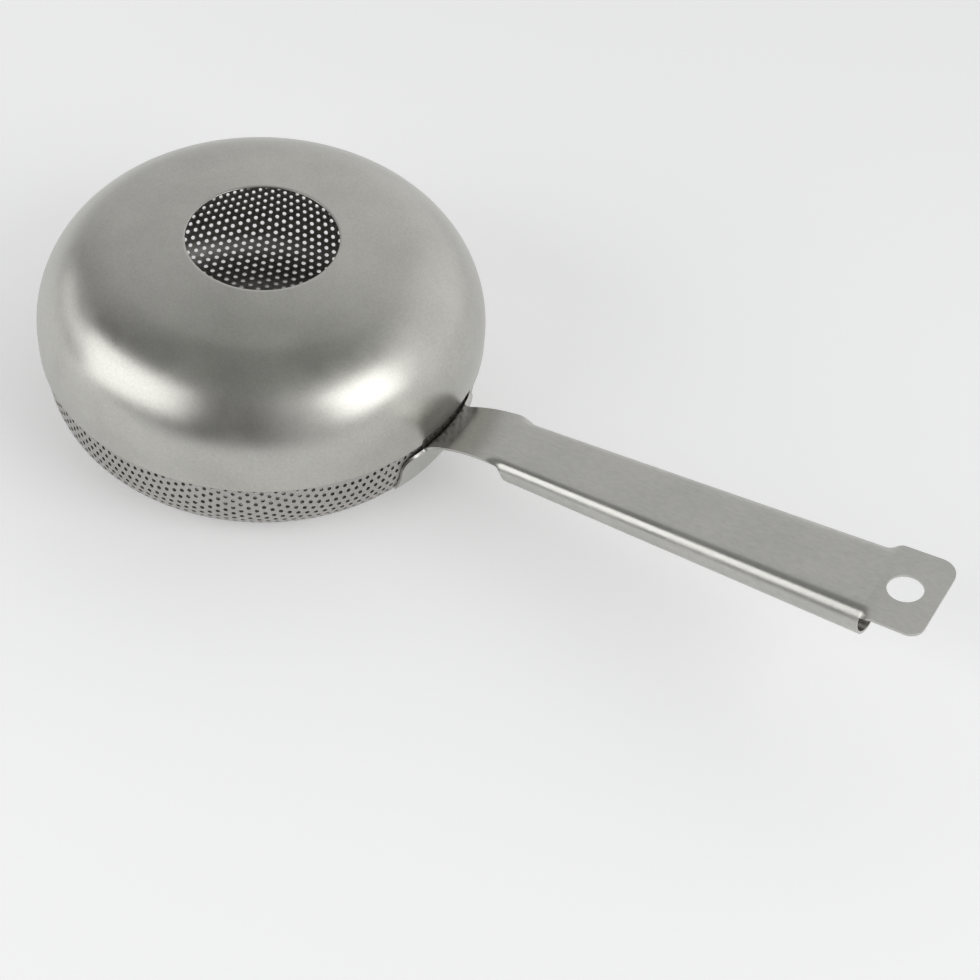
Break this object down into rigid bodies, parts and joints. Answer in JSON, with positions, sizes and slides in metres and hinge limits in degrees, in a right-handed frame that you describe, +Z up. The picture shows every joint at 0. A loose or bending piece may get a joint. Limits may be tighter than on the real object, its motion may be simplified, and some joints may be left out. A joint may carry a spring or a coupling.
{
  "type": "stovetop coffee bean roaster",
  "caption": "Hand-shaken stovetop bean roaster: a perforated steel basket with a curled-edge handle, under a domed lift-off cover with a round window.",
  "frame": {"origin": "centre of the basket's flat floor, on the surface it stands on", "axes": "+Z up along the round body's axis, +X from the body's axis out along the handle, +Y to the side"},
  "size_m": [0.2448, 0.115, 0.0538],
  "materials": {
    "cover_steel": "satin",
    "basket_steel": "satin perforated sheet",
    "handle_steel": "satin",
    "weld_steel": "as welded"
  },
  "bodies": {
    "basket": {"perforated_basket": "basket_steel", "handle": "handle_steel", "spot_welds": "weld_steel"},
    "cover": {"top_cover": "cover_steel"}
  },
  "joints": [
    {"name": "cover_lift", "type": "slide", "parent": "basket", "child": "cover", "axis": [0, 0, 1], "range_m": [0, 0.06]}
  ]
}
